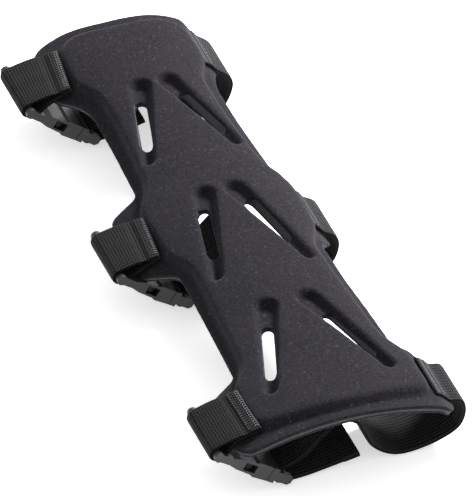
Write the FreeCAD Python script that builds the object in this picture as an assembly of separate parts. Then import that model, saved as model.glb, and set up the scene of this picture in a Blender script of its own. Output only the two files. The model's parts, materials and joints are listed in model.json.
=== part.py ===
"""Forearm guard: an arched foam shell covered in knitted fabric, three straps and side-release buckles.

Millimetres. X runs across the arm, Y along it from the elbow edge to the wrist edge, Z up.
The origin is under the middle of the box round the whole guard, on the surface that it stands on.
"""
import FreeCAD, Part

import math
import os

V = FreeCAD.Vector

# ---- Shell: an arched plate, flatter at the elbow end than at the wrist end
LENGTH = 272.0  # elbow edge to wrist edge
CREST_Z = 36.0  # top of the cover along the middle line
ELBOW_RADIUS = 136.0  # arch radius of the cover's flange face at the elbow edge
WRIST_RADIUS = 74.0
FABRIC = 0.6  # cover and lining
FLANGE_FOAM = 2.0  # pressed edge of the foam
PAD_FOAM = 5.6  # raised part of the foam
MARGIN = 40.0  # how far the arch's cones run past the elbow edge
CORNER, PAD_CORNER = 2.5, 3.0  # corner radii of the outline and of the pad

# ---- Outline of one side, from the elbow edge to the wrist edge: (half width, distance from the elbow edge)
ELBOW_WING, MIDDLE_WING, WRIST_WING = 46.8, 41.6, 38.2
OUTLINE = [
    (42.0, 0.0), (ELBOW_WING, 6.0), (ELBOW_WING, 37.0), (33.4, 45.0),
    (29.6, 117.5), (MIDDLE_WING, 123.0), (MIDDLE_WING, 158.0), (36.0, 164.5), (28.6, 165.5),
    (27.6, 228.0), (33.0, 233.0), (WRIST_WING, 241.0), (WRIST_WING, 264.0), (32.0, LENGTH),
]
PAD_OUTLINE = [
    (34.6, 8.0), (34.6, 37.0), (28.0, 47.0),
    (24.6, 115.0), (30.0, 123.0), (30.0, 155.0), (23.0, 167.0),
    (22.0, 225.0), (27.0, 234.0), (26.0, 262.0),
]

# ---- Vents: a channel pressed beside each leg of a triangle, with a slot through its floor
# (half distance at the wrist end, place, half distance at the elbow end, place)
CHANNELS = [(5.4, 224.0, 17.4, 178.5), (5.6, 150.5, 18.6, 100.5), (8.0, 75.5, 24.0, 26.5)]
SLOTS = [(9.0, 214.5, 15.4, 189.5), (9.6, 141.5, 15.4, 115.0), (12.6, 63.5, 20.4, 37.5)]
CHANNEL_WIDTH = 8.0
SLOT_WIDTH = 5.2

# ---- Straps
STRAP_WIDTH = 25.0
STEPS = 8  # points on a strap's face between two points of its line
ELASTIC = 1.4
LOOP_WEBBING = 1.4
TIERS = {
    # y: place along the guard. loop, tip: arc distances of the loop's sewn end and of the left wing's tip.
    # sewn: arc distance of the strap's sewn end, on the right. bar: the loop's bar in X and Z.
    # turn: the strap's outermost place in X and Z. tail: reach of its free end past the lock bar.
    "elbow": {"y": 22.0, "loop": 35.6, "tip": ELBOW_WING, "sewn": 38.2, "bar": (-53.0, 22.4),
              "turn": (50.2, 19.5), "tail": 32.0},
    "middle": {"y": 138.5, "loop": 32.4, "tip": MIDDLE_WING, "sewn": 31.0, "bar": (-50.0, 22.8),
               "turn": (43.8, 18.5), "tail": 27.0},
    "wrist": {"y": 250.0, "loop": 28.6, "tip": WRIST_WING, "sewn": 27.2, "bar": (-47.4, 23.9),
              "turn": (40.2, 17.5), "tail": 23.0},
}
SEWN_LENGTH = 7.0
LOBE_X = 20.0  # lowest point of the strap's right side
TOUCH_X = 0.5  # where the strap comes up under the shell
TOUCH_Z = 23.4
STRAP_LIFT = 0.25  # the strap's sewn end over the flange's face
LOOP_LIFT = 0.03

# ---- Buckle, in its own frame: x from the loop bar towards the plug, y across, z through
BUCKLE_HALF_WIDTH = 15.5
RAIL = 2.4
BAR_RADIUS = 1.7
EYE_RADIUS = 2.1
EYE_GAP = 0.8
SOCKET_START, SOCKET_END = 6.0, 25.0
BLOCK_HALF, SLAB_HALF, THIN_HALF = 3.4, 2.8, 1.6
SLAB_END, BLOCK_START = 16.6, 18.0
CAVITY_START = 10.8
CAVITY_HALF_WIDTH = 13.4
CAVITY_HALF = 1.75
WINDOW = (12.4, 18.0)
PLUG_START, PLUG_BASE_END, PLUG_END = 25.3, 28.2, 35.6
PLUG_RAIL_HALF = 2.1
LOCK_BAR_X = 32.6
LOCK_BAR_RADIUS = 1.6
PRONG_START = 12.8
PRONG_INNER, PRONG_OUTER, SHOULDER = 7.6, 10.4, 14.5
SHOULDER_FRONT, SHOULDER_BACK = 14.0, 17.8
BLADE_HALF = 1.35
BLADE_HALF_WIDTH = 2.6
MOUTH_HALF = BLOCK_HALF - 0.2
RAIL_CHAMFER = 1.2
HINGE_X, HINGE_Y = 23.0, 9.0
WRAP_RADIUS = LOCK_BAR_RADIUS + 0.35 + ELASTIC / 2
SLACK_RADIUS = 3.5  # looser part of the wrap, under the bar
WRAP = [
    (78, WRAP_RADIUS), (130, WRAP_RADIUS), (175, WRAP_RADIUS + 0.1),
    (212, SLACK_RADIUS - 0.1), (242, SLACK_RADIUS + 0.2), (272, SLACK_RADIUS),
]  # degrees round the bar, and radius
LOCK_BAR_Z = SLACK_RADIUS + ELASTIC / 2 + 0.1

# ---- Thread
STITCH_LENGTH, STITCH_WIDTH, STITCH_HEIGHT = 1.9, 0.55, 0.4
STITCH_COUNT = 9

Y_SHIFT = -LENGTH / 2  # puts the middle of the guard at the origin
HAIR = 1e-6

FLANGE_TOP = CREST_Z - (PAD_FOAM - FLANGE_FOAM)  # crest height of the flange's face
SLOPE = (ELBOW_RADIUS - WRIST_RADIUS) / LENGTH
TILT = math.atan(SLOPE)  # half angle of the cones, whose upper line is level
APEX_Y = ELBOW_RADIUS / SLOPE


def arch_radius(y):
    """Radius of the cover's flange face at a distance from the elbow edge."""
    return SLOPE * (APEX_Y - y)


def arch_height(x, y, offset):
    """Height of the flange's face, raised by offset, over a place in X and Y."""
    c, s = math.cos(TILT), math.sin(TILT)
    reach = APEX_Y + offset / SLOPE - y
    fall = c * (reach * s - math.sqrt((reach * s) ** 2 - (c * c - s * s) * x * x)) / (c * c - s * s)
    return FLANGE_TOP + offset - fall


def arch_point(half, y, offset=0.0):
    """Point at an arc distance from the middle line, raised by offset from the flange's face."""
    r = arch_radius(y)
    x = (r + offset) * math.sin(half / r)
    return V(x, y, arch_height(x, y, offset))


def cone(offset):
    """Everything under the flange's face raised by offset."""
    height = (APEX_Y + MARGIN) * math.cos(TILT)
    solid = Part.makeCone(0, height * SLOPE, height)
    solid.rotate(V(0, 0, 0), V(0, 1, 0), 90)
    solid.rotate(V(0, 0, 0), V(0, 0, 1), -90)
    solid.rotate(V(0, 0, 0), V(1, 0, 0), math.degrees(TILT))
    solid.translate(V(0, APEX_Y + offset / SLOPE, FLANGE_TOP + offset))
    return solid


def layer(low, high):
    return cone(high).cut(cone(low))


def prism(points):
    """Upright prism over a closed outline in X and Y."""
    bottom = -CREST_Z
    wire = Part.makePolygon([V(x, y, bottom) for x, y in points] + [V(points[0][0], points[0][1], bottom)])
    return Part.Face(wire).extrude(V(0, 0, 4 * CREST_Z))


def flat_outline(side, grow=0.0):
    """Both sides of an outline, seen from above, with every point moved out by grow."""
    right = []
    for half, y in side:
        p = arch_point(half, y)
        end = grow * (y > 0.95 * LENGTH) - grow * (y < 0.05 * LENGTH)
        right.append((p.x + grow, y + end))
    return right + [(-x, y) for x, y in reversed(right)]


def rounded(solid, radius):
    """Rounds the upright corner edges of a prism."""
    upright = [e for e in solid.Edges if e.BoundBox.XLength < HAIR and e.BoundBox.YLength < HAIR]
    return solid.makeFillet(radius, upright)


def stadium(half_a, y_a, half_b, y_b, width, side):
    """Upright round-ended slot between two places on one side of the middle line."""
    a, b = arch_point(side * half_a, y_a), arch_point(side * half_b, y_b)
    a.z = b.z = -CREST_Z
    up = V(0, 0, 4 * CREST_Z)
    across = (b - a).normalize().cross(V(0, 0, 1)).multiply(width / 2)
    corners = [a + across, b + across, b - across, a - across, a + across]
    box = Part.Face(Part.makePolygon(corners)).extrude(up)
    ends = [Part.makeCylinder(width / 2, up.z, p) for p in (a, b)]
    return box.fuse(ends).removeSplitter()


def each_vent(places, width):
    cuts = [stadium(*place, width, side) for place in places for side in (-1, 1)]
    return cuts[0].fuse(cuts[1:])


def pressed_shape(low, flange, pad, grow):
    """The flange and the raised pad as one solid, with the vents' channels and slots."""
    flat = layer(low, flange).common(rounded(prism(flat_outline(OUTLINE)), CORNER))
    raised = layer(low, pad).common(rounded(prism(flat_outline(PAD_OUTLINE, grow)), PAD_CORNER))
    raised = raised.cut(each_vent(CHANNELS, CHANNEL_WIDTH - 2 * grow))
    return flat.fuse(raised).removeSplitter()


def shell_parts():
    slots = each_vent(SLOTS, SLOT_WIDTH)
    foam_face = -FABRIC
    underside = foam_face - FLANGE_FOAM
    pad_rise = PAD_FOAM - FLANGE_FOAM
    core = pressed_shape(underside, foam_face, foam_face + pad_rise, 0.0)
    outer = pressed_shape(underside, 0.0, pad_rise, FABRIC)
    plan = rounded(prism(flat_outline(OUTLINE)), CORNER)
    lining = layer(underside - FABRIC, underside).common(plan)
    return {
        "foam_core": core.cut(slots),
        "outer_cover": outer.cut(core).cut(slots),
        "inner_lining": lining.cut(slots),
    }


def band(centres, thickness, width, y):
    """A strap of even thickness along a smooth line in X and Z."""
    line = Part.BSplineCurve()
    line.interpolate([V(x, y - width / 2, z) for x, z in centres])
    first, last = line.FirstParameter, line.LastParameter
    spans = len(centres) - 1
    sides = {1: [], -1: []}
    for i in range(STEPS * spans + 1):
        t = first + (last - first) * i / (STEPS * spans)
        p, along = line.value(t), line.tangent(t)[0]
        out = V(-along.z, 0, along.x).normalize()
        for s in sides:
            sides[s].append(p + out * (s * thickness / 2))
    edges = []
    for s in sides:
        curve = Part.BSplineCurve()
        curve.interpolate(sides[s])
        joins = [curve.parameter(p) for p in sides[s][::STEPS]]
        edges += [curve.toShape(a, b) for a, b in zip(joins, joins[1:])]
    edges.append(Part.makeLine(sides[1][0], sides[-1][0]))
    edges.append(Part.makeLine(sides[1][-1], sides[-1][-1]))
    return Part.Face(Part.Wire(Part.__sortEdges__(edges))).extrude(V(0, width, 0))


def lock_bar(tier):
    """Where the plug's bar lies, and how far the buckle leans down."""
    x, z = tier["bar"]
    lean = math.asin((z - LOCK_BAR_Z) / LOCK_BAR_X)
    return x + LOCK_BAR_X * math.cos(lean), lean


def elastic_strap(tier):
    """From the right wing, round under the shell, and through the plug's lock to its free end."""
    y, sewn = tier["y"], tier["sewn"]
    clear = ELASTIC / 2 + STRAP_LIFT
    start = arch_point(sewn, y, clear)
    half = sewn + SEWN_LENGTH
    over = arch_point(half, y, clear)
    turn_x, turn_z = tier["turn"]
    bar_x, _ = lock_bar(tier)
    line = [(start.x, start.z), ((start.x + over.x) / 2, (start.z + over.z) / 2 + 0.08), (over.x, over.z),
            (turn_x - 1.6, turn_z + 4.4), (turn_x, turn_z), (turn_x - 2.0, turn_z - 7.2),
            ((turn_x + LOBE_X) / 2 + 4.6, 3.8), (LOBE_X + 4.0, ELASTIC / 2 + 0.2), (LOBE_X - 3.0, 2.4),
            (LOBE_X - 10.0, 8.6),
            (TOUCH_X + 4.5, TOUCH_Z - 2.4), (TOUCH_X - 2.5, TOUCH_Z),
            (0.65 * (TOUCH_X - 2.5) + 0.35 * (bar_x + 8.0), TOUCH_Z - 3.6), (bar_x + 8.0, LOCK_BAR_Z + 5.6)]
    for degrees, radius in WRAP:
        a = math.radians(degrees)
        line.append((bar_x + radius * math.cos(a), LOCK_BAR_Z + radius * math.sin(a)))
    tail = tier["tail"]
    line += [(bar_x + tail * 0.3, ELASTIC / 2 + 0.5), (bar_x + tail * 0.6, ELASTIC / 2 + 2.0),
             (bar_x + tail, ELASTIC / 2 + 4.4)]
    return band(line, ELASTIC, STRAP_WIDTH, y)


def loop_frame(tier):
    """The left loop's sewn end on the wing's face, where it leaves the tip, its direction, and the bar."""
    foot = arch_point(-tier["loop"], tier["y"], LOOP_LIFT)
    leave = arch_point(-tier["tip"] + 0.6, tier["y"], 0.1)
    bar = V(tier["bar"][0], tier["y"], tier["bar"][1])
    return foot, leave, (leave - foot).normalize(), bar


def buckle_loop(tier):
    """Webbing folded round the socket's bar, both ends sewn together on the left wing."""
    foot, flat_end, along, bar = loop_frame(tier)
    up = V(along.z, 0, -along.x)
    t = LOOP_WEBBING
    inner, outer = BAR_RADIUS + EYE_GAP, BAR_RADIUS + EYE_GAP + t
    down = (bar - flat_end).normalize()
    side = V(down.z, 0, -down.x)
    shift = V(0, -STRAP_WIDTH / 2, 0)
    far = bar + down * outer
    low_turn, high_turn = bar - side * outer, bar + side * outer
    rim = [Part.makeLine(foot, flat_end), Part.makeLine(flat_end, low_turn),
           Part.Arc(low_turn, far, high_turn).toShape(),
           Part.makeLine(high_turn, flat_end + up * 2 * t),
           Part.makeLine(flat_end + up * 2 * t, foot + up * 2 * t),
           Part.makeLine(foot + up * 2 * t, foot)]
    eye_far = bar + down * inner
    low_eye, high_eye = bar - side * inner, bar + side * inner
    neck = flat_end + up * t + down * (2 * t)
    hole = [Part.makeLine(neck, low_eye), Part.Arc(low_eye, eye_far, high_eye).toShape(),
            Part.makeLine(high_eye, neck)]
    solids = []
    for edges in (rim, hole):
        face = Part.Face(Part.Wire(Part.__sortEdges__(edges)))
        face.translate(shift)
        solids.append(face.extrude(V(0, STRAP_WIDTH, 0)))
    return solids[0].cut(solids[1])


def stitches(origin, along, up, y):
    """A row of zigzag stitches across a sewn end, laid on its face."""
    made = []
    for i in range(STITCH_COUNT):
        place = y + STRAP_WIDTH * ((i + 0.5) / STITCH_COUNT - 0.5) * 0.94
        for row, lean in ((1.2, 24.0), (3.2, -24.0)):
            one = Part.makeBox(STITCH_LENGTH, STITCH_WIDTH, STITCH_HEIGHT,
                               V(-STITCH_LENGTH / 2, -STITCH_WIDTH / 2, 0))
            one.rotate(V(0, 0, 0), V(0, 0, 1), lean)
            frame = FreeCAD.Matrix(along.x, 0, up.x, 0, along.y, 1, up.y, 0, along.z, 0, up.z, 0, 0, 0, 0, 1)
            one = one.transformGeometry(frame)
            spot = origin + along * row
            one.translate(V(spot.x, place, spot.z))
            made.append(one)
    return Part.makeCompound(made)


def loop_stitching(tier):
    foot, _, along, _ = loop_frame(tier)
    up = V(along.z, 0, -along.x)
    return stitches(foot + up * (2 * LOOP_WEBBING + 0.02), along, up, tier["y"])


def strap_stitching(tier):
    face = ELASTIC + 2 * STRAP_LIFT
    foot = arch_point(tier["sewn"], tier["y"], face)
    along = (arch_point(tier["sewn"] + 4.0, tier["y"], face) - foot).normalize()
    up = V(-along.z, 0, along.x)
    return stitches(foot, along, up, tier["y"])


def slab(x0, x1, half_y, half_z):
    return Part.makeBox(x1 - x0, 2 * half_y, 2 * half_z, V(x0, -half_y, -half_z))


def tapered_body():
    """The socket's body: thin towards its bar and full at its mouth."""
    points = [(SOCKET_START, THIN_HALF), (SOCKET_START + 3.5, SLAB_HALF - 0.4), (SLAB_END, SLAB_HALF),
              (BLOCK_START, BLOCK_HALF), (SOCKET_END, MOUTH_HALF)]
    side = points + [(x, -z) for x, z in reversed(points)]
    wire = Part.makePolygon([V(x, -BUCKLE_HALF_WIDTH, z) for x, z in side + side[:1]])
    return Part.Face(wire).extrude(V(0, 2 * BUCKLE_HALF_WIDTH, 0))


def rails(x0, x1, half):
    return [Part.makeBox(x1 - x0, RAIL, 2 * half, V(x0, y, -half))
            for y in (-BUCKLE_HALF_WIDTH, BUCKLE_HALF_WIDTH - RAIL)]


def cross_bar(x, radius):
    span = BUCKLE_HALF_WIDTH - RAIL / 2
    return Part.makeCylinder(radius, 2 * span, V(x, -span, 0), V(0, 1, 0))


def socket():
    """Female half: a bar for the loop, a tapered body, a mouth, and a window in each side."""
    eye_rails = [r.fuse(Part.makeCylinder(EYE_RADIUS, RAIL, V(0, r.BoundBox.YMin, 0), V(0, 1, 0)))
                 for r in rails(0, SOCKET_START + 1.0, THIN_HALF)]
    body = tapered_body().fuse(eye_rails + [cross_bar(0, BAR_RADIUS)])
    body = body.cut(slab(CAVITY_START, SOCKET_END + 1, CAVITY_HALF_WIDTH, CAVITY_HALF))
    return body.cut(slab(WINDOW[0], WINDOW[1], BUCKLE_HALF_WIDTH + 1, CAVITY_HALF)).removeSplitter()


def plug():
    """Male half: a base, a centre blade in the socket, and a lock bar between two rails."""
    base = slab(PLUG_START, PLUG_BASE_END, BUCKLE_HALF_WIDTH, MOUTH_HALF)
    ends = []
    for rail in rails(PLUG_BASE_END - 1.0, PLUG_END, PLUG_RAIL_HALF):
        tips = [e for e in rail.Edges
                if abs(e.BoundBox.XMin - PLUG_END) < HAIR and e.BoundBox.YLength > RAIL / 2]
        ends.append(rail.makeChamfer(RAIL_CHAMFER, tips))
    blade = slab(PRONG_START, PLUG_START + 1, BLADE_HALF_WIDTH, BLADE_HALF)
    return base.fuse(ends + [blade, cross_bar(LOCK_BAR_X, LOCK_BAR_RADIUS)]).removeSplitter()


def prong(side):
    """One sprung arm of the plug, with the shoulder that shows in the socket's window."""
    points = [(HINGE_X, PRONG_INNER), (HINGE_X, PRONG_OUTER), (SHOULDER_BACK + 1.2, PRONG_OUTER + 1.2),
              (SHOULDER_BACK, SHOULDER - 1.6), (SHOULDER_FRONT, SHOULDER), (PRONG_START, PRONG_OUTER + 1.6),
              (PRONG_START, PRONG_INNER + 1.0)]
    wire = Part.makePolygon([V(x, side * y, -BLADE_HALF) for x, y in points + points[:1]])
    root = Part.makeCylinder(HINGE_Y - PRONG_INNER, 2 * BLADE_HALF, V(HINGE_X, side * HINGE_Y, -BLADE_HALF))
    return Part.Face(wire).extrude(V(0, 0, 2 * BLADE_HALF)).fuse(root).removeSplitter()


def place_buckle(shape, tier):
    """From the buckle's own frame to its place under the left wing."""
    _, lean = lock_bar(tier)
    x, z = tier["bar"]
    shape = shape.copy()
    shape.rotate(V(0, 0, 0), V(0, 1, 0), math.degrees(lean))
    shape.translate(V(x, tier["y"], z))
    return shape


def strap_parts(name, tier):
    return {
        f"buckle_loop_{name}": buckle_loop(tier),
        f"loop_stitching_{name}": loop_stitching(tier),
        f"elastic_strap_{name}": elastic_strap(tier),
        f"strap_stitching_{name}": strap_stitching(tier),
        f"buckle_socket_{name}": place_buckle(socket(), tier),
        f"buckle_plug_{name}": place_buckle(plug(), tier),
        f"elbow_side_prong_{name}": place_buckle(prong(-1), tier),
        f"wrist_side_prong_{name}": place_buckle(prong(1), tier),
    }


def main():
    parts = shell_parts()
    for name, tier in TIERS.items():
        parts.update(strap_parts(name, tier))
    box = Part.makeCompound(list(parts.values())).optimalBoundingBox(False)
    centre_x = (box.XMin + box.XMax) / 2
    print("box", box, "centre x %.4f low %.4f" % (centre_x, box.ZMin))
    os.makedirs("parts", exist_ok=True)
    for name, shape in parts.items():
        shape.translate(V(-centre_x, Y_SHIFT, -box.ZMin))
        good = shape.isValid() and all(s.Volume > 0 for s in shape.Solids)
        print(name, len(shape.Solids), "solids", round(shape.Volume, 1), "mm3", "ok" if good else "BAD")
        shape.exportStep(os.path.join("parts", name + ".step"))
    for name, tier in TIERS.items():
        bar_x, lean = lock_bar(tier)
        print(name, "bar", tier["bar"][0] - centre_x, tier["y"] + Y_SHIFT, tier["bar"][1] - box.ZMin,
              "lean", math.degrees(lean))


main()
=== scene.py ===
"""Forearm guard: fabric-covered foam shell with vents, three elastic straps and side-release buckles.

The shell is drawn on a flat pattern in millimetres: u across it, from the middle line, and v along it, from
the elbow edge. on_arch bends the pattern over the arch. SHIFT moves the guard's own measures into the frame.
"""

import json
import math
import random

import bpy
import bmesh
import numpy as np
from mathutils import Matrix, Vector
from mathutils.geometry import delaunay_2d_cdt


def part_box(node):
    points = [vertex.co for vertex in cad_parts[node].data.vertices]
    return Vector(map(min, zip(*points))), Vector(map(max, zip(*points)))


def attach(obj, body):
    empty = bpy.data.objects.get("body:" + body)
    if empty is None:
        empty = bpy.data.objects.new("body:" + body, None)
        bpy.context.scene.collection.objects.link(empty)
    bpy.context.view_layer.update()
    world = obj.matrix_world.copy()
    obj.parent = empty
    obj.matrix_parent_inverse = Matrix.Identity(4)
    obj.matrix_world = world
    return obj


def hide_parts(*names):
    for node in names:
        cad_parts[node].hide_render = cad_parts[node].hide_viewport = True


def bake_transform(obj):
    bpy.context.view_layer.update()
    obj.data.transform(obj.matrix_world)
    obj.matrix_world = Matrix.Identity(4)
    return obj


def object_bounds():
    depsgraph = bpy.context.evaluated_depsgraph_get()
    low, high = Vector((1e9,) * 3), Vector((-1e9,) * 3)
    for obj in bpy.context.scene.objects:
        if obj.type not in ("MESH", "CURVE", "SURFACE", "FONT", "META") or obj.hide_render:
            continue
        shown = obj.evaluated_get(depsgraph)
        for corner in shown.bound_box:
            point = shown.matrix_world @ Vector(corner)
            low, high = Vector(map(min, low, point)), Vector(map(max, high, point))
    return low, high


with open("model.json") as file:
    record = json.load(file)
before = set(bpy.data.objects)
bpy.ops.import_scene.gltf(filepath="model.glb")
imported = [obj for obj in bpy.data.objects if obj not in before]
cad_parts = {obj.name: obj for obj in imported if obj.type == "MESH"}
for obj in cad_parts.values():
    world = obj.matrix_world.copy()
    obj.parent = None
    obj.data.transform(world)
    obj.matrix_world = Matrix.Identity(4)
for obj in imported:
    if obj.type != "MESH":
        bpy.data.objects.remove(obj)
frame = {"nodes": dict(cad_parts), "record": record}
bounds_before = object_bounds()
random.seed(7)
rng = np.random.default_rng(7)

MM = 0.001

# ---------------------------------------------------------------- the guard's own measures, in millimetres
CREST_Z = 36.0  # top of the pad along the middle line
ELBOW_RADIUS, WRIST_RADIUS = 136.0, 74.0  # of the arch
PAD_RISE = 3.6
UNDERSIDE = -3.2  # the lining's face, from the flange's face
FLANGE_TOP = CREST_Z - PAD_RISE

# from the own measures to the frame: the arch's middle line runs through the mount, and the crest is highest
SHIFT = Vector((frame["record"]["mounts"][0]["pos_m"][0] / MM, bounds_before[0][1] / MM,
                bounds_before[1][2] / MM - CREST_Z))
LENGTH = (bounds_before[1][1] - bounds_before[0][1]) / MM
SLOPE = (ELBOW_RADIUS - WRIST_RADIUS) / LENGTH
APEX_Y = ELBOW_RADIUS / SLOPE  # where the cone of the arch would come to a point

# one side of the shell's edge and of its raised pad: (half width, place along the guard, corner radius)
OUTLINE = [
    (43.0, 2.0, 6), (47.6, 7.5, 5), (47.6, 36.8, 4), (40.5, 40.8, 3), (33.2, 44.6, 3),
    (31.6, 80.0, 60), (30.6, 115.0, 4), (40.5, 122.6, 4), (44.6, 125.4, 3),
    (43.0, 161.8, 3), (35.0, 164.4, 4), (28.9, 166.4, 3), (27.4, 200.0, 60), (27.2, 227.0, 9),
    (38.6, 242.0, 5), (38.6, 263.0, 6), (33.0, 270.2, 6), (18.0, 272.4, 14),
]
OUTLINE_END = 270.6  # the wrist edge dips a little in the middle
PAD = [
    (36.0, 10.6, 5), (36.0, 36.0, 5), (28.6, 46.0, 6), (27.4, 62.0, 30),
    (24.6, 112.0, 8), (31.5, 124.0, 5), (31.5, 153.0, 5), (23.6, 167.0, 7), (21.2, 195.0, 40),
    (20.8, 227.0, 6), (27.6, 238.0, 5), (26.8, 259.5, 5), (20.0, 266.4, 5),
]
PAD_ENDS = (7.0, 263.6)  # the pad's edge on the middle line
END_RADII = (60, 40)  # corner radii on the middle line, at the elbow and wrist ends

# leg of each vent: (half distance, place) at the wrist end and at the elbow end, then its half width at each
CHANNELS = [
    ((5.6, 222.5), (17.6, 179.5), 3.7, 2.0),
    ((6.2, 148.5), (18.4, 101.0), 3.8, 2.0),
    ((8.4, 73.5), (24.0, 27.0), 4.0, 2.1),
]
SLOTS = [
    ((9.0, 214.0), (15.2, 190.0)),
    ((9.8, 140.5), (15.0, 115.8)),
    ((12.6, 62.5), (20.6, 37.2)),
]
SLOT_HALF = 2.6
CHANNEL_THINNING = 1.5  # how far the shell's underside rises below a channel

# how far the sides fall below the cone, as a factor on the squared distance from the middle: (place, factor)
SAG_RIGHT = [(0, 0.0006), (45, 0.0015), (80, 0.0024), (120, 0.0028),
             (150, 0.0022), (200, 0.0036), (272, 0.0010)]
SAG_LEFT = [(0, 0.0), (30, -0.0003), (80, 0.0024), (115, 0.0022),
            (140, 0.0004), (200, 0.0036), (250, -0.001), (272, -0.0012)]
SAG_SOFTNESS = 8.0
# the right-hand wings are folded down by their straps, from this half width on: (place, half width)
FOLD_START = [(0, 36.5), (42, 36.5), (60, 31.5), (110, 31.0),
              (125, 29.0), (160, 29.0), (185, 27.0), (272, 26.5)]
FOLD_REACH, FOLD_TURN = 6.0, 23.0  # millimetres, degrees

STRAP_WIDTH = 25.0
LOOP_WIDTH = 26.0
ELASTIC = 1.4  # thickness of the straps
LOOP_WEBBING = 1.4  # thickness of the loops
BAR_RADIUS, EYE_RADIUS = 1.7, 2.1  # the socket's bar, and the rounded ends of its arms
LOCK_BAR_X, LOCK_BAR_Z = 32.6, 4.3  # the plug's bar: its distance from the socket's bar, and its height
SEWN_LENGTH = 7.0
STRAP_LIFT = 0.25  # from the flange's face to the strap
LOBE_X = 20.0  # lowest place of the strap's right side
HUMP = (-2.0, 23.4)  # where the strap comes up under the shell, in X and Z
# loop, tip: arc distances of the loop's sewn end and of the left wing's tip
# skew: how far that sewn end is askew
# sewn: arc distance of the strap's sewn end
# turn: the strap's outermost place, in X and Z
# tail: reach of its free end past the plug's bar
# The frame gives y, the tier's place along the guard, and bar, the place of the socket's bar in X and Z.
TIERS = {
    "elbow": dict(loop=34.9, tip=46.8, skew=-0.6, sewn=38.2, turn=(49.6, 15.5), tail=32.0),
    "middle": dict(loop=32.4, tip=41.6, skew=2.6, sewn=30.6, turn=(41.4, 13.5), tail=27.0),
    "wrist": dict(loop=28.0, tip=38.2, skew=3.7, sewn=27.0, turn=(38.6, 13.5), tail=23.0),
}
for tier_name, tier in TIERS.items():
    strap_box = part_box(f"elastic_strap_{tier_name}")
    socket_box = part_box(f"buckle_socket_{tier_name}")
    tier["y"] = (strap_box[0][1] + strap_box[1][1]) / 2 / MM - SHIFT.y
    tier["bar"] = (socket_box[0][0] / MM + EYE_RADIUS - SHIFT.x, socket_box[1][2] / MM - EYE_RADIUS - SHIFT.z)


def in_frame(x, y, z):
    """Metres in the frame, from the guard's own millimetres."""
    return (x + SHIFT.x) * MM, (y + SHIFT.y) * MM, (z + SHIFT.z) * MM


# ---------------------------------------------------------------- the arch
def arch_radius(v):
    return SLOPE * (APEX_Y - v)


def sag_table(points):
    """The sag factor for every millimetre of the guard, smoothed."""
    margin = int(3 * SAG_SOFTNESS)
    places = np.arange(-30, 303)
    raw = np.interp(places, *zip(*points))
    weights = np.exp(-0.5 * (np.arange(-margin, margin + 1) / SAG_SOFTNESS) ** 2)
    smooth = np.convolve(np.pad(raw, margin, mode="edge"), weights / weights.sum(), mode="valid")
    return places, smooth


RIGHT_SAGS, LEFT_SAGS = sag_table(SAG_RIGHT), sag_table(SAG_LEFT)


def lean_at(u, v):
    """Angle of the shell's face from level: the arch, its sag, and the fold of the right-hand wings."""
    factor = np.where(u > 0, np.interp(v, *RIGHT_SAGS), np.interp(v, *LEFT_SAGS))
    past = np.clip((u - np.interp(v, *zip(*FOLD_START))) / FOLD_REACH, 0, 1)
    fold = math.radians(FOLD_TURN) * past * past * (3 - 2 * past)
    return u / arch_radius(v) + 2 * factor * u + fold


def on_arch(u, v, offset):
    """Points in metres in the frame, from places on the flat pattern and offsets from the flange's face."""
    u, v, offset = np.broadcast_arrays(*(np.asarray(a, float) for a in (u, v, offset)))
    samples = 32
    steps = (np.arange(samples) + 0.5) / samples
    lean = lean_at(u[..., None] * steps, v[..., None])
    end = lean_at(u, v)
    x = u * np.cos(lean).mean(axis=-1) + offset * np.sin(end)
    z = FLANGE_TOP - u * np.sin(lean).mean(axis=-1) + offset * np.cos(end)
    return np.stack([x + SHIFT.x, v + SHIFT.y + 0 * x, z + SHIFT.z], -1) * MM


# ---------------------------------------------------------------- loops on the flat pattern
def distances(line):
    """How far each point of a line is from its start, along it."""
    return np.concatenate([[0], np.cumsum(np.linalg.norm(np.diff(line, axis=0), axis=1))])


def resample(line, run, places):
    return np.stack([np.interp(places, run, line[:, k]) for k in (0, 1)], -1)


def rounded_loop(points, step=1.1):
    """A closed loop with round corners from (u, v, corner radius), in even steps."""
    path = []
    corner_steps = 8
    for i, (u, v, radius) in enumerate(points):
        corner = Vector((u, v))
        back = Vector(points[i - 1][:2]) - corner
        ahead = Vector(points[(i + 1) % len(points)][:2]) - corner
        cut = min(radius, 0.48 * back.length, 0.48 * ahead.length)  # two corners share each edge
        start, end = corner + back.normalized() * cut, corner + ahead.normalized() * cut
        for k in range(corner_steps + 1):
            t = k / corner_steps
            path.append(start * (1 - t) ** 2 + corner * 2 * t * (1 - t) + end * t * t)
    line = np.array([tuple(p) for p in path + path[:1]])
    run = distances(line)
    return resample(line, run, np.linspace(0, run[-1], max(12, int(run[-1] / step)), endpoint=False))


def both_sides(side, elbow_end=None, wrist_end=None):
    """A closed loop of one side and its mirror image, with a corner on the middle line for each end given."""
    loop = list(side)
    if wrist_end is not None:
        loop.append((0.0, wrist_end, END_RADII[1]))
    loop += [(-u, v, r) for u, v, r in reversed(side)]
    if elbow_end is not None:
        loop.append((0.0, elbow_end, END_RADII[0]))
    return loop


def stadium(a, b, half, steps=9):
    """The edge of a slot with round ends, centred on a and b."""
    a, b = Vector(a), Vector(b)
    along = (b - a).normalized()
    side = Vector((-along.y, along.x))
    points = []
    for centre, turn in ((b, 0.0), (a, math.pi)):
        for k in range(steps + 1):
            angle = turn - math.pi / 2 + math.pi * k / steps
            points.append(centre + half * (math.cos(angle) * along + math.sin(angle) * side))
    return rounded_loop([(p.x, p.y, 0.01) for p in points], 0.8)


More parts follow.
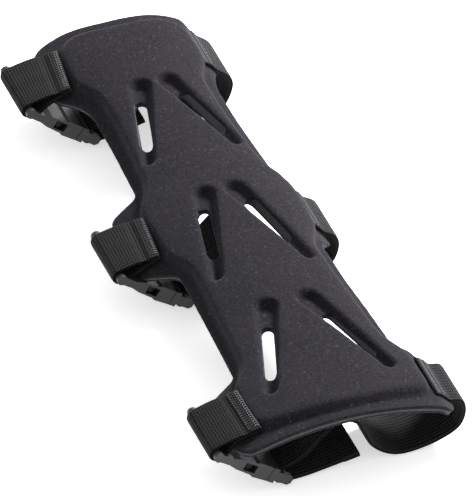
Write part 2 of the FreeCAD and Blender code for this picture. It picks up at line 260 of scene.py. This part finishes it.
# ---------------------------------------------------------------- the pressed face, as a raster of heights
CELL = 0.4  # millimetres
RASTER_U, RASTER_V = -54.0, -6.0  # its corner
RASTER_WIDTH, RASTER_LENGTH = 108, 286
GU, GV = np.meshgrid(RASTER_U + CELL * np.arange(int(RASTER_WIDTH / CELL)),
                     RASTER_V + CELL * np.arange(int(RASTER_LENGTH / CELL)))

EDGE_SOFTNESS, PAD_FULLNESS, CHANNEL_EDGE = 1.9, 7.0, 2.2
WAVE, WAVE_SIZE = 0.10, 6.0  # height and size of the face's slow unevenness
FINE, FINE_SIZE = 0.018, 1.6  # and of its fine unevenness


def inside_loop(u, v, loop):
    """Which of the points are inside a closed loop, by counting the edges to their right."""
    inside = np.zeros(u.shape, bool)
    for (u0, v0), (u1, v1) in zip(loop, np.roll(loop, -1, axis=0)):
        if v0 != v1:
            inside ^= (v >= min(v0, v1)) & (v < max(v0, v1)) & (u < u0 + (v - v0) * (u1 - u0) / (v1 - v0))
    return inside


def blur(field, size):
    s = size / CELL
    k = np.arange(-int(3 * s) - 1, int(3 * s) + 2)
    w = np.exp(-0.5 * (k / s) ** 2)
    w /= w.sum()
    for axis in (0, 1):
        field = np.apply_along_axis(lambda m: np.convolve(m, w, mode="same"), axis, field)
    return field


def smooth_step(t):
    return t * t * (3 - 2 * t)


def unevenness(size):
    """Random heights of standard deviation 1, with features of the size given."""
    field = blur(rng.normal(size=GU.shape), size)
    return field / field.std()


def taper_distance(a, b, half_a, half_b):
    """Distance from the edge of a channel that tapers from a to b, negative inside it."""
    du, dv = b[0] - a[0], b[1] - a[1]
    t = np.clip(((GU - a[0]) * du + (GV - a[1]) * dv) / (du * du + dv * dv), 0, 1)
    away = np.hypot(GU - a[0] - t * du, GV - a[1] - t * dv)
    return away - (half_a + (half_b - half_a) * t)


def face_heights():
    """Heights of the shell's two faces over the flat pattern, from the flange's face."""
    pad = inside_loop(GU, GV, rounded_loop(both_sides(PAD, *PAD_ENDS))).astype(float)
    t = np.clip((blur(pad, EDGE_SOFTNESS) - 0.30) / 0.68, 0, 1)
    rise = PAD_RISE * np.sqrt(1 - (1 - t) ** 2.2)
    rise = rise * (0.90 + 0.13 * blur(pad, PAD_FULLNESS))
    channels = np.zeros_like(rise)
    for a, b, wide, narrow in CHANNELS:
        for side in (-1, 1):
            gap = taper_distance((side * a[0], a[1]), (side * b[0], b[1]), wide, narrow)
            channels = np.maximum(channels, smooth_step(np.clip(0.5 - gap / CHANNEL_EDGE, 0, 1)))
    rise = blur(rise * (1 - 0.97 * channels), 0.45)
    top = rise + WAVE * unevenness(WAVE_SIZE) + FINE * unevenness(FINE_SIZE)
    return top, UNDERSIDE + CHANNEL_THINNING * blur(channels, 1.0)


TOP, BOTTOM = face_heights()


def height_at(raster, u, v):
    fu = np.clip((np.asarray(u) - RASTER_U) / CELL, 0, raster.shape[1] - 1.001)
    fv = np.clip((np.asarray(v) - RASTER_V) / CELL, 0, raster.shape[0] - 1.001)
    i, j = fu.astype(int), fv.astype(int)
    a, b = fu - i, fv - j
    return (raster[j, i] * (1 - a) * (1 - b) + raster[j, i + 1] * a * (1 - b)
            + raster[j + 1, i] * (1 - a) * b + raster[j + 1, i + 1] * a * b)


# ---------------------------------------------------------------- materials
UV_UNIT = 100.0  # millimetres of tape to 1 in U or V


def shade(colour, factor):
    return tuple(factor * c for c in colour)


def grey(value):
    return (value, value, value)


class Shader:
    """One material, with short calls for the nodes that the materials here need."""

    def __init__(self, name, **settings):
        self.material = bpy.data.materials.new(name)
        self.material.use_nodes = True
        self.nodes = self.material.node_tree.nodes
        self.links = self.material.node_tree.links
        self.bsdf = self.nodes["Principled BSDF"]
        self.places = None
        for socket, value in settings.items():
            self.feed(self.bsdf.inputs[socket.replace("_", " ")], value)

    def feed(self, socket, value):
        """Set a socket to a number or a colour, or link another node's output to it."""
        if isinstance(value, (int, float)):
            socket.default_value = value
        elif isinstance(value, tuple):
            socket.default_value = (*value, 1.0)
        else:
            self.links.new(value, socket)

    def coordinates(self, kind):
        if self.places is None:
            self.places = self.nodes.new("ShaderNodeTexCoord")
        return self.places.outputs[kind]

    def noise(self, source, scale, detail=3.0, rough=0.6):
        node = self.nodes.new("ShaderNodeTexNoise")
        node.inputs["Scale"].default_value = scale
        node.inputs["Detail"].default_value = detail
        node.inputs["Roughness"].default_value = rough
        self.links.new(source, node.inputs["Vector"])
        return node.outputs["Fac"]

    def ramp(self, source, *stops):
        node = self.nodes.new("ShaderNodeValToRGB")
        while len(node.color_ramp.elements) < len(stops):
            node.color_ramp.elements.new(0.5)
        for element, (position, colour) in zip(node.color_ramp.elements, stops):
            element.position = position
            element.color = (*colour, 1.0)
        self.links.new(source, node.inputs["Fac"])
        return node.outputs["Color"]

    def math(self, operation, *values):
        node = self.nodes.new("ShaderNodeMath")
        node.operation = operation
        for socket, value in zip(node.inputs, values):
            self.feed(socket, value)
        return node.outputs[0]

    def mix(self, factor, a, b, kind="MIX"):
        node = self.nodes.new("ShaderNodeMix")
        node.data_type = "RGBA"
        node.blend_type = kind
        for socket, value in ((node.inputs[0], factor), (node.inputs[6], a), (node.inputs[7], b)):
            self.feed(socket, value)
        return node.outputs[2]

    def wave(self, value, repeats, power):
        """Rounded ridges, from 0 between them to 1 on top."""
        turn = self.math("MULTIPLY", self.math("MULTIPLY", value, repeats), math.pi)
        return self.math("POWER", self.math("ABSOLUTE", self.math("SINE", turn)), power)

    def base_colour(self, value):
        self.links.new(value, self.bsdf.inputs["Base Color"])

    def bump(self, height, strength, distance, normal=None):
        node = self.nodes.new("ShaderNodeBump")
        node.inputs["Strength"].default_value = strength
        node.inputs["Distance"].default_value = distance
        self.links.new(height, node.inputs["Height"])
        if normal is not None:
            self.links.new(normal, node.inputs["Normal"])
        self.links.new(node.outputs["Normal"], self.bsdf.inputs["Normal"])
        return node.outputs["Normal"]


def cover_material(base, fleck):
    """Brushed knit: short fibres, pale flecks, faint blotches."""
    shader = Shader("guard_cover_fabric", Roughness=0.93, Specular_IOR_Level=0.14, Sheen_Weight=0.06,
                    Sheen_Roughness=0.45, Sheen_Tint=(0.86, 0.82, 0.95))
    place = shader.coordinates("Object")
    grain = shader.noise(place, 1300.0, 2.0, 0.7)
    flecks = shader.noise(place, 800.0, 2.0, 0.5)
    blotch = shader.noise(place, 60.0, 4.0, 0.6)
    body = shader.ramp(grain, (0.34, shade(base, 0.35)), (0.66, shade(base, 1.75)))
    spots = shader.ramp(flecks, (0.62, grey(0.0)), (0.74, grey(1.0)))
    cloud = shader.ramp(blotch, (0.3, grey(0.90)), (0.7, grey(1.08)))
    shader.base_colour(shader.mix(1.0, shader.mix(spots, body, fleck), cloud, "MULTIPLY"))
    fibres = shader.bump(grain, 0.55, 0.00012)
    shader.bump(flecks, 0.35, 0.00018, fibres)
    return shader.material


def plain_cloth(name, base, scale=1800.0):
    shader = Shader(name, Roughness=0.92, Specular_IOR_Level=0.25, Sheen_Weight=0.1)
    grain = shader.noise(shader.coordinates("Object"), scale, 3.0, 0.65)
    shader.base_colour(shader.ramp(grain, (0.3, shade(base, 0.6)), (0.7, shade(base, 1.4))))
    shader.bump(grain, 0.5, 0.0001)
    return shader.material


def webbing_material(name, base, rib, pick, depth):
    """Woven tape: ribs along it, crossed by picks, coloured with painted shade in the weave's hollows and a
    painted highlight on its tops. U runs along the tape, V across it, in UV_UNITs.
    """
    shader = Shader(name, Roughness=0.82, Specular_IOR_Level=0.12, Sheen_Weight=0.02)
    uv = shader.coordinates("UV")
    split = shader.nodes.new("ShaderNodeSeparateXYZ")
    shader.links.new(uv, split.inputs[0])
    jitter = shader.math("MULTIPLY", shader.noise(uv, 26.0, 2.0), 0.004)
    along = shader.math("ADD", split.outputs["X"], jitter)
    ribs = shader.wave(split.outputs["Y"], UV_UNIT / rib, 0.6)
    picks = shader.wave(along, UV_UNIT / pick, 0.5)
    fuzz = shader.noise(shader.coordinates("Object"), 2600.0, 2.0, 0.7)
    weave = shader.math("MULTIPLY", shader.math("MULTIPLY", ribs, picks), 0.8)
    height = shader.math("ADD", weave, shader.math("MULTIPLY", fuzz, 0.3))
    # painted shade and highlight: the colour follows the weave's height, nearly black in the hollows and five
    # times the base on the tops
    shader.base_colour(shader.ramp(height, (0.32, shade(base, 0.04)), (0.62, shade(base, 0.8)),
                                   (1.0, shade(base, 5.0))))
    shader.bump(height, 0.85, depth)
    return shader.material


def plastic_material():
    """Satin moulded plastic, a little cloudy."""
    shader = Shader("guard_buckle_plastic")
    place = shader.coordinates("Object")
    grain = shader.noise(place, 3200.0, 2.0)
    cloud = shader.noise(place, 220.0, 3.0)
    shader.base_colour(shader.ramp(cloud, (0.3, (0.0105, 0.0102, 0.0115)), (0.7, (0.0175, 0.017, 0.0193))))
    roughness = shader.ramp(cloud, (0.3, grey(0.38)), (0.7, grey(0.52)))
    shader.links.new(roughness, shader.bsdf.inputs["Roughness"])
    shader.bump(grain, 0.25, 0.00005)
    return shader.material


def thread_material():
    """Twisted thread."""
    shader = Shader("guard_thread", Roughness=0.6)
    twist = shader.nodes.new("ShaderNodeTexWave")
    twist.inputs["Scale"].default_value = 900.0
    twist.inputs["Distortion"].default_value = 2.0
    shader.links.new(shader.coordinates("Object"), twist.inputs["Vector"])
    plies = twist.outputs["Fac"]
    shader.base_colour(shader.ramp(plies, (0.1, (0.040, 0.040, 0.042)), (0.9, (0.150, 0.148, 0.154))))
    shader.bump(plies, 0.5, 0.00008)
    return shader.material


COVER = cover_material(base=(0.0100, 0.0089, 0.0115), fleck=(0.037, 0.034, 0.042))
FOAM_EDGE = plain_cloth("guard_foam_edge", (0.034, 0.033, 0.036), 1400.0)
LINING = plain_cloth("guard_lining", (0.008, 0.0075, 0.0095))
LOOP_WEB = webbing_material("guard_loop_webbing", (0.0058, 0.0058, 0.0061), 1.3, 1.15, 0.00034)
ELASTIC_WEB = webbing_material("guard_elastic_webbing", (0.0085, 0.0085, 0.0096), 1.75, 0.9, 0.00022)
PLASTIC = plastic_material()
THREAD = thread_material()


# ---------------------------------------------------------------- the shell
SPACING = 1.05  # of its points
ROW_RATIO = 0.866  # height of an even triangle to its side
EDGE_GAP = 0.62  # least distance from an inner point to an edge
PATTERN_U, PATTERN_V = (-50, 50), (-1, 275)  # ranges of the inner points
EDGE_WANDER = 0.03  # a cut edge is never quite even


def new_object(name, vertices, faces, materials):
    mesh = bpy.data.meshes.new(name)
    mesh.from_pydata([tuple(v) for v in vertices], [], faces)
    mesh.update()
    obj = bpy.data.objects.new(name, mesh)
    bpy.context.scene.collection.objects.link(obj)
    for m in materials:
        mesh.materials.append(m)
    mesh.polygons.foreach_set("use_smooth", [True] * len(mesh.polygons))
    return obj


def in_material(points, loops):
    """Which points are inside the shell's edge and outside its slots."""
    inside = inside_loop(points[:, 0], points[:, 1], loops[0])
    for slot in loops[1:]:
        inside &= ~inside_loop(points[:, 0], points[:, 1], slot)
    return inside


def far_from(points, loop, batch=4000):
    """Which points keep EDGE_GAP from a loop's points."""
    far = [np.linalg.norm(points[k:k + batch, None, :] - loop[None, :, :], axis=2).min(axis=1) > EDGE_GAP
           for k in range(0, len(points), batch)]
    return np.concatenate(far)


def inner_points(loops):
    """Even rows of points over the shell's material."""
    rows = np.arange(*PATTERN_V, SPACING * ROW_RATIO)
    uu, vv = np.meshgrid(np.arange(*PATTERN_U, SPACING), rows)
    uu = uu + (np.arange(len(rows)) % 2)[:, None] * SPACING * 0.5
    points = np.stack([uu.ravel(), vv.ravel()], -1)
    points = points[in_material(points, loops)]
    for loop in loops:
        points = points[far_from(points, loop)]
    return points


def shell_pattern():
    """Triangles over the flat pattern: (u, v) of every point, faces, and the index loops of the edges."""
    outline = rounded_loop(both_sides(OUTLINE, wrist_end=OUTLINE_END), 1.0)
    outline = outline + rng.normal(scale=EDGE_WANDER, size=outline.shape)
    slots = [stadium((s * a[0], a[1]), (s * b[0], b[1]), SLOT_HALF) for a, b in SLOTS for s in (-1, 1)]
    loops = [outline] + slots
    points = [Vector(p) for loop in loops for p in loop] + [Vector(p) for p in inner_points(loops)]
    ends, start = [], 0
    for loop in loops:
        ends.append(list(range(start, start + len(loop))))
        start += len(loop)
    edges = [(e[i], e[(i + 1) % len(e)]) for e in ends for i in range(len(e))]
    verts, _, faces, came_from, _, _ = delaunay_2d_cdt(points, edges, [], 0, 1e-5, True)
    at = np.array([tuple(v) for v in verts])
    new_index = {old: new for new, olds in enumerate(came_from) for old in olds}
    middles = np.array([at[list(f)].mean(axis=0) for f in faces])
    kept = []
    for face, keep in zip(faces, in_material(middles, loops)):
        if keep:
            a, b, c = (at[i] for i in face[:3])
            turn = (b[0] - a[0]) * (c[1] - a[1]) - (b[1] - a[1]) * (c[0] - a[0])
            kept.append(tuple(face) if turn > 0 else tuple(reversed(face)))
    return at, kept, [[new_index[i] for i in e] for e in ends]


def counterclockwise(uv):
    return np.sum(uv[:, 0] * np.roll(uv[:, 1], -1) - np.roll(uv[:, 0], -1) * uv[:, 1]) > 0


def away_from_material(uv, is_outline):
    """Unit directions away from the material at each point of an edge loop."""
    along = np.roll(uv, -1, axis=0) - np.roll(uv, 1, axis=0)
    along /= np.linalg.norm(along, axis=1)[:, None]
    normal = np.stack([along[:, 1], -along[:, 0]], -1)
    return normal if counterclockwise(uv) == is_outline else -normal


def add_ring(verts, faces, last, points, flip):
    """One more ring of points round an edge, joined to the last ring by quads."""
    ring = list(range(len(verts), len(verts) + len(last)))
    verts += list(points)
    for i in range(len(last)):
        j = (i + 1) % len(last)
        face = (last[i], ring[i], ring[j], last[j])
        faces.append(tuple(reversed(face)) if flip else face)
    return ring


def build_shell():
    """The cover with the foam's cut edge, and the lining under it, rolled up a little round the edge."""
    at, faces, loops = shell_pattern()
    top, bottom = (height_at(raster, at[:, 0], at[:, 1]) for raster in (TOP, BOTTOM))
    cover_verts, under_verts = (list(on_arch(at[:, 0], at[:, 1], heights)) for heights in (top, bottom))
    cover_faces = list(faces)
    under_faces = [tuple(reversed(f)) for f in faces]
    slots = [0] * len(faces)  # material of each face: 0 the cover, 1 the foam's edge
    for index, loop in enumerate(loops):
        is_outline = index == 0
        uv, level, base = at[loop], top[loop], bottom[loop]
        out = away_from_material(uv, is_outline)
        flip = is_outline != counterclockwise(uv)
        turned = np.minimum(1.5, level - base - 0.9)  # height of the cover's turned edge
        bulge = 1.0 if is_outline else 0.4
        last = list(loop)
        for reach, height, slot in [
                (0.16 * bulge, level - 0.08 * turned, 0), (0.26 * bulge, level - 0.33 * turned, 0),
                (0.26 * bulge, level - 0.73 * turned, 0), (0.14 * bulge, level - 0.93 * turned, 0),
                (0.02, level - turned, 1), (0.0, base + 0.66, 1)]:
            ring = on_arch(uv[:, 0] + out[:, 0] * reach, uv[:, 1] + out[:, 1] * reach, height)
            last = add_ring(cover_verts, cover_faces, last, ring, flip)
            slots += [slot] * len(loop)
        last = list(loop)
        for reach, height in [(0.14, 0.08), (0.18, 0.35), (0.12, 0.62)]:
            ring = on_arch(uv[:, 0] + out[:, 0] * reach, uv[:, 1] + out[:, 1] * reach, base + height)
            last = add_ring(under_verts, under_faces, last, ring, not flip)
    cover = new_object("shell_cover", cover_verts, cover_faces, [COVER, FOAM_EDGE])
    cover.data.polygons.foreach_set("material_index", slots)
    return cover, new_object("shell_lining", under_verts, under_faces, [LINING])


# ---------------------------------------------------------------- tapes and stitches
EDGE_POWER = 24  # the higher, the squarer a tape's edges
TAPE_STEPS = 24  # between two points of a tape's line, before it is cut evenly


def smooth_path(points, step):
    """Even steps along a Catmull-Rom line through (x, z) points, and the distance of each from the start."""
    p = [np.array(q, float) for q in points]
    p = [2 * p[0] - p[1]] + p + [2 * p[-1] - p[-2]]
    line = []
    for a, b, c, d in zip(p, p[1:], p[2:], p[3:]):
        t1 = np.linalg.norm(b - a) ** 0.5
        t2 = t1 + np.linalg.norm(c - b) ** 0.5
        t3 = t2 + np.linalg.norm(d - c) ** 0.5
        for t in np.linspace(t1, t2, TAPE_STEPS, endpoint=False):
            a1 = (t1 - t) / t1 * a + t / t1 * b
            a2 = (t2 - t) / (t2 - t1) * b + (t - t1) / (t2 - t1) * c
            a3 = (t3 - t) / (t3 - t2) * c + (t - t2) / (t3 - t2) * d
            b1 = (t2 - t) / t2 * a1 + t / t2 * a2
            b2 = (t3 - t) / (t3 - t1) * a2 + (t - t1) / (t3 - t1) * a3
            line.append((t2 - t) / (t2 - t1) * b1 + (t - t1) / (t2 - t1) * b2)
    line = np.array(line + [p[-2]])
    run = distances(line)
    places = np.linspace(0, run[-1], max(8, int(run[-1] / step)))
    return resample(line, run, places), places


def even(at, end):
    return 1.0


def straight(at, end):
    return 0.0


def tape(name, centres, thickness, y, mat, ribs, rib_height, step, width, swell=even, skew=straight):
    """A woven tape swept along a line in X and Z, with ribs along both faces.

    swell gives its thickness along the way as a factor, and skew how far its wrist edge lies beyond its elbow
    edge in X.
    """
    path, at = smooth_path(centres, step)
    tangent = np.gradient(path, axis=0)
    tangent /= np.linalg.norm(tangent, axis=1)[:, None]
    normal = np.stack([-tangent[:, 1], tangent[:, 0]], -1)
    columns = 4 * ribs
    w = np.linspace(-0.5, 0.5, columns + 1)
    edge = np.sqrt(np.clip(1 - (np.abs(w) * 2) ** EDGE_POWER, 0, 1)) * 0.85 + 0.15
    groove = rib_height * (np.abs(np.sin(w * math.pi * ribs)) ** 0.7 - 0.6)
    upper = [(1, j) for j in range(columns + 1)]
    section = upper + [(-1, j) for _, j in reversed(upper)]  # one turn round the tape
    verts, coords = [], []
    for i, place in enumerate(at):
        half = thickness * swell(place, at[-1]) / 2
        lead = skew(place, at[-1])
        breadth = width - 0.3 + 0.05 * math.sin(place / 5.3 + y)
        for sign, j in section:
            lift = sign * (half + groove[j]) * edge[j]
            x, z = path[i] + normal[i] * lift
            verts.append(in_frame(x + lead * w[j], y + w[j] * breadth, z))
            coords.append((place / UV_UNIT, (w[j] * STRAP_WIDTH + STRAP_WIDTH / 2) / UV_UNIT))
    ring = len(section)
    last = (len(path) - 1) * ring
    faces = []
    for start in range(0, last, ring):
        for j in range(ring):
            k = (j + 1) % ring
            faces.append((start + j, start + ring + j, start + ring + k, start + k))
    for start, flip in ((0, False), (last, True)):
        for j in range(columns):
            face = (start + j, start + j + 1, start + ring - 2 - j, start + ring - 1 - j)
            faces.append(tuple(reversed(face)) if flip else face)
    obj = new_object(name, verts, faces, [mat])
    layer = obj.data.uv_layers.new(name="UVMap")
    index = np.empty(len(obj.data.loops), int)
    obj.data.loops.foreach_get("vertex_index", index)
    layer.data.foreach_set("uv", np.array(coords)[index].ravel())
    bm = bmesh.new()
    bm.from_mesh(obj.data)
    bmesh.ops.recalc_face_normals(bm, faces=bm.faces)
    bm.to_mesh(obj.data)
    bm.free()
    return obj


def stitch_mesh(name, spots, radius, length):
    """Short threads, one for each (centre, direction, up), as bent capsules."""
    verts, faces = [], []
    rings, sides = 7, 6
    for centre, direction, up in spots:
        side = direction.cross(up).normalized()
        base = len(verts)
        size = length * random.uniform(0.9, 1.08)
        for i in range(rings):
            t = i / (rings - 1)
            along = (t - 0.5) * size
            thick = radius * math.sqrt(max(0.0, 1 - (2 * t - 1) ** 4)) + 0.03
            lift = 0.30 * (1 - (2 * t - 1) ** 2) - 0.12
            for k in range(sides):
                a = 2 * math.pi * k / sides
                spot = centre + direction * along + up * (lift + thick * math.sin(a))
                verts.append(in_frame(*(spot + side * (thick * math.cos(a)))))
        for start in range(base, base + (rings - 1) * sides, sides):
            for k in range(sides):
                m = (k + 1) % sides
                faces.append((start + k, start + m, start + sides + m, start + sides + k))
        faces.append(tuple(base + k for k in reversed(range(sides))))
        faces.append(tuple(base + (rings - 1) * sides + k for k in range(sides)))
    return new_object(name, verts, faces, [THREAD])


def seam(foot, along, up, y, rows, count, lift, skew=0.0):
    """Places for rows of stitches across a sewn end: a row is its distance from the foot and its lean."""
    spots = []
    across = Vector((0, 1, 0))
    for i in range(count):
        place = y + (STRAP_WIDTH - 1.6) * ((i + 0.5) / count - 0.5)
        for row, lean in rows:
            angle = math.radians(lean + random.uniform(-6, 6))
            direction = (along * math.cos(angle) + across * math.sin(angle)).normalized()
            p = foot + along * row + up * lift
            ahead = skew * (place - y) / STRAP_WIDTH
            spots.append((Vector((p.x + ahead, place + random.uniform(-0.08, 0.08), p.z)), direction, up))
    return spots


def arch_place(u, v, offset):
    """A place over the arch, in the guard's own measures."""
    p = on_arch(u, v, offset) / MM
    return Vector((float(p[0]) - SHIFT.x, float(v), float(p[2]) - SHIFT.z))


# ---------------------------------------------------------------- the loops on the left wings
def loop_line(tier):
    """Centre line of a loop's webbing, over the bar and back, and the foot and directions of its sewn end."""
    t = LOOP_WEBBING
    foot = arch_place(-tier["loop"], tier["y"], 0.1)
    tip = arch_place(-tier["tip"] + 0.6, tier["y"], 0.1)
    along = (tip - foot).normalized()
    up = Vector((along.z, 0, -along.x))
    bar = Vector((tier["bar"][0], tier["y"], tier["bar"][1]))
    down = (bar - tip).normalized()
    side = Vector((down.z, 0, -down.x))
    r = BAR_RADIUS + 0.15 + t / 2
    first, top = foot + up * 1.35 * t, bar + side * (r + 0.4)
    line = [first, first.lerp(top, 0.3) + side * 0.4, first.lerp(top, 0.62) + side * 0.6, top]
    for degrees, slack in ((62, 0.4), (32, 0.3), (0, 0.2), (-32, 0.2), (-62, 0.3), (-90, 0.5)):
        a = math.radians(degrees)
        line.append(bar + (down * math.cos(a) + side * math.sin(a)) * (r + slack))
    line.append(tip.lerp(bar, 0.55) - side * (r - 0.4))
    line += [tip + up * 0.5 * t - along * 0.5, foot + up * 0.5 * t]
    return [(p.x, p.z) for p in line], foot, along, up


def loop_swell(at, end):
    """The loop's upper end is a thick sewn strip, with a pressed valley beside it."""
    if at < 4.4:
        return 1.5
    return 0.45 if at < 7.4 else 1.0


def build_loop(name, tier):
    def skew(at, end):
        """Full at the sewn ends, none from 22 mm on."""
        return tier["skew"] * max(0.0, 1.0 - min(at, end - at) / 22.0)

    line, foot, along, up = loop_line(tier)
    y = tier["y"]
    loop = tape(f"loop_webbing_{name}", line, LOOP_WEBBING, y - 0.2, LOOP_WEB, ribs=22, rib_height=0.06,
                step=0.6, width=LOOP_WIDTH, swell=loop_swell, skew=skew)
    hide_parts(f"buckle_loop_{name}")
    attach(loop, "guard")
    rows = [(0.7, 55), (1.5, -55), (4.3, 30)]
    spots = seam(foot, along, up, y, rows, count=17, lift=3.08, skew=tier["skew"])
    threads = stitch_mesh(f"loop_stitches_{name}", spots, radius=0.26, length=1.4)
    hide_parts(f"loop_stitching_{name}")
    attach(threads, "guard")


# ---------------------------------------------------------------- the elastic straps
def lock_bar_x(tier):
    """Place of the plug's bar across the guard."""
    x, z = tier["bar"]
    return x + LOCK_BAR_X * math.cos(math.asin((z - LOCK_BAR_Z) / LOCK_BAR_X))


def strap_line(tier):
    """Centre line of a strap: right wing, round under the shell, and round the plug's bar to the free end."""
    clear = ELASTIC / 2 + STRAP_LIFT
    on_wing = [arch_place(tier["sewn"] + d, tier["y"], clear) for d in (0.0, 2.5, 5.0, SEWN_LENGTH)]
    turn_x, turn_z = tier["turn"]
    bar_x, bar_z, tail = lock_bar_x(tier), LOCK_BAR_Z, tier["tail"]
    rise = bar_x + 8.0
    line = [(p.x, p.z) for p in on_wing]
    line += [(turn_x - 1.6, turn_z + 4.4), (turn_x, turn_z), (turn_x - 2.0, turn_z - 7.2)]
    line += [((turn_x + LOBE_X) / 2 + 5.6, 3.8), (26.0, 0.9), (19.0, 2.2), (11.5, 8.0), (5.0, 21.0), HUMP]
    line += [(0.65 * HUMP[0] + 0.35 * rise, 19.8), (rise, bar_z + 5.6)]
    for degrees, radius in [(78, 2.65), (130, 2.65), (175, 2.75), (212, 3.4), (242, 3.7), (272, 3.5)]:
        a = math.radians(degrees)
        line.append((bar_x + radius * math.cos(a), bar_z + radius * math.sin(a)))
    return line + [(bar_x + tail * 0.3, 1.2), (bar_x + tail * 0.6, 2.7), (bar_x + tail, 5.1)]


def strap_swell(at, end):
    """The free end is folded over and sewn."""
    return 1.55 if end - at < 7.0 else 1.0


def build_strap(name, tier):
    y = tier["y"]
    strap = tape(f"strap_webbing_{name}", strap_line(tier), ELASTIC, y, ELASTIC_WEB, ribs=14, rib_height=0.12,
                 step=0.8, width=STRAP_WIDTH, swell=strap_swell)
    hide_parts(f"elastic_strap_{name}")
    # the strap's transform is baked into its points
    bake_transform(strap)
    clear = ELASTIC + STRAP_LIFT
    foot = arch_place(tier["sewn"], y, clear)
    along = (arch_place(tier["sewn"] + 4.0, y, clear) - foot).normalized()
    up = Vector((-along.z, 0, along.x))
    spots = seam(foot, along, up, y, [(0.9, 62), (1.7, -62), (3.9, 58)], count=19, lift=0.1)
    threads = stitch_mesh(f"strap_stitches_{name}", spots, radius=0.2, length=1.25)
    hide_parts(f"strap_stitching_{name}")
    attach(threads, "guard")


# ---------------------------------------------------------------- the pieces
def finish_plastic(obj):
    """Satin plastic, and edges rounded as moulding leaves them."""
    obj.data.materials.clear()
    obj.data.materials.append(PLASTIC)
    bevel = obj.modifiers.new("soft_edges", "BEVEL")
    bevel.width = 0.45 * MM
    bevel.segments = 3
    bevel.limit_method = "ANGLE"
    bevel.angle_limit = math.radians(32)
    bevel.harden_normals = True


cover, lining = build_shell()
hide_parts("outer_cover", "foam_core")
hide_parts("inner_lining")
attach(cover, "guard")
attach(lining, "guard")
for tier_name, tier in TIERS.items():
    build_loop(tier_name, tier)
    build_strap(tier_name, tier)
for node, obj in frame["nodes"].items():
    if node.startswith(("buckle_socket", "buckle_plug")) or "_prong_" in node:
        finish_plastic(obj)


# ---------------------------------------------------------------- floor, light and camera
FLOOR_HALF = 4.0  # metres
KEY_PLACE, KEY_TARGET = Vector((1.15, 0.55, 1.0)), Vector((0, 0, 0.02))
CAMERA_DISTANCE = 6.0
VIEW_WIDTH = 0.1942  # metres across the picture, at the target
CAMERA_TURN, CAMERA_HEIGHT = math.radians(-20.54), math.radians(38.0)
TARGET = Vector((0.35, -12.7, 25.9)) * MM


def add_floor():
    h = FLOOR_HALF
    corners = [(-h, -h, 0), (h, -h, 0), (h, h, 0), (-h, h, 0)]
    shader = Shader("floor_white", Base_Color=(0.93, 0.93, 0.93), Roughness=0.9,
                    Emission_Color=(1.0, 1.0, 1.0), Emission_Strength=0.55)
    floor = new_object("floor", corners, [(0, 1, 2, 3)], [shader.material])
    floor.location.z = -0.5 * MM


def add_light():
    world = bpy.context.scene.world or bpy.data.worlds.new("studio")
    bpy.context.scene.world = world
    world.use_nodes = True
    background = world.node_tree.nodes["Background"].inputs
    background["Color"].default_value = (1.0, 1.0, 1.0, 1)
    background["Strength"].default_value = 0.8
    data = bpy.data.lights.new("key", "AREA")
    data.shape = "DISK"
    data.size = 0.5
    data.energy = 66
    key = bpy.data.objects.new("key", data)
    bpy.context.scene.collection.objects.link(key)
    key.location = KEY_PLACE
    key.rotation_euler = (KEY_TARGET - KEY_PLACE).to_track_quat("-Z", "Y").to_euler()


def add_camera():
    """A level camera that looks down on the guard from beyond its elbow end, through a long lens."""
    right = Vector((math.cos(CAMERA_TURN), math.sin(CAMERA_TURN), 0))
    ahead = Vector((-right.y, right.x, 0))
    up = ahead * math.sin(CAMERA_HEIGHT) + Vector((0, 0, math.cos(CAMERA_HEIGHT)))
    back = right.cross(up)
    data = bpy.data.cameras.new("camera")
    data.type = "PERSP"
    data.sensor_width = 36.0
    data.lens = data.sensor_width * CAMERA_DISTANCE / VIEW_WIDTH
    data.clip_end = 20
    camera = bpy.data.objects.new("camera", data)
    bpy.context.scene.collection.objects.link(camera)
    turn = Matrix((right, up, back)).transposed()
    camera.matrix_world = Matrix.Translation(TARGET + back * CAMERA_DISTANCE) @ turn.to_4x4()
    bpy.context.scene.camera = camera
    bpy.context.scene.view_settings.view_transform = "Standard"


add_floor()
add_light()
add_camera()

bpy.context.view_layer.update()
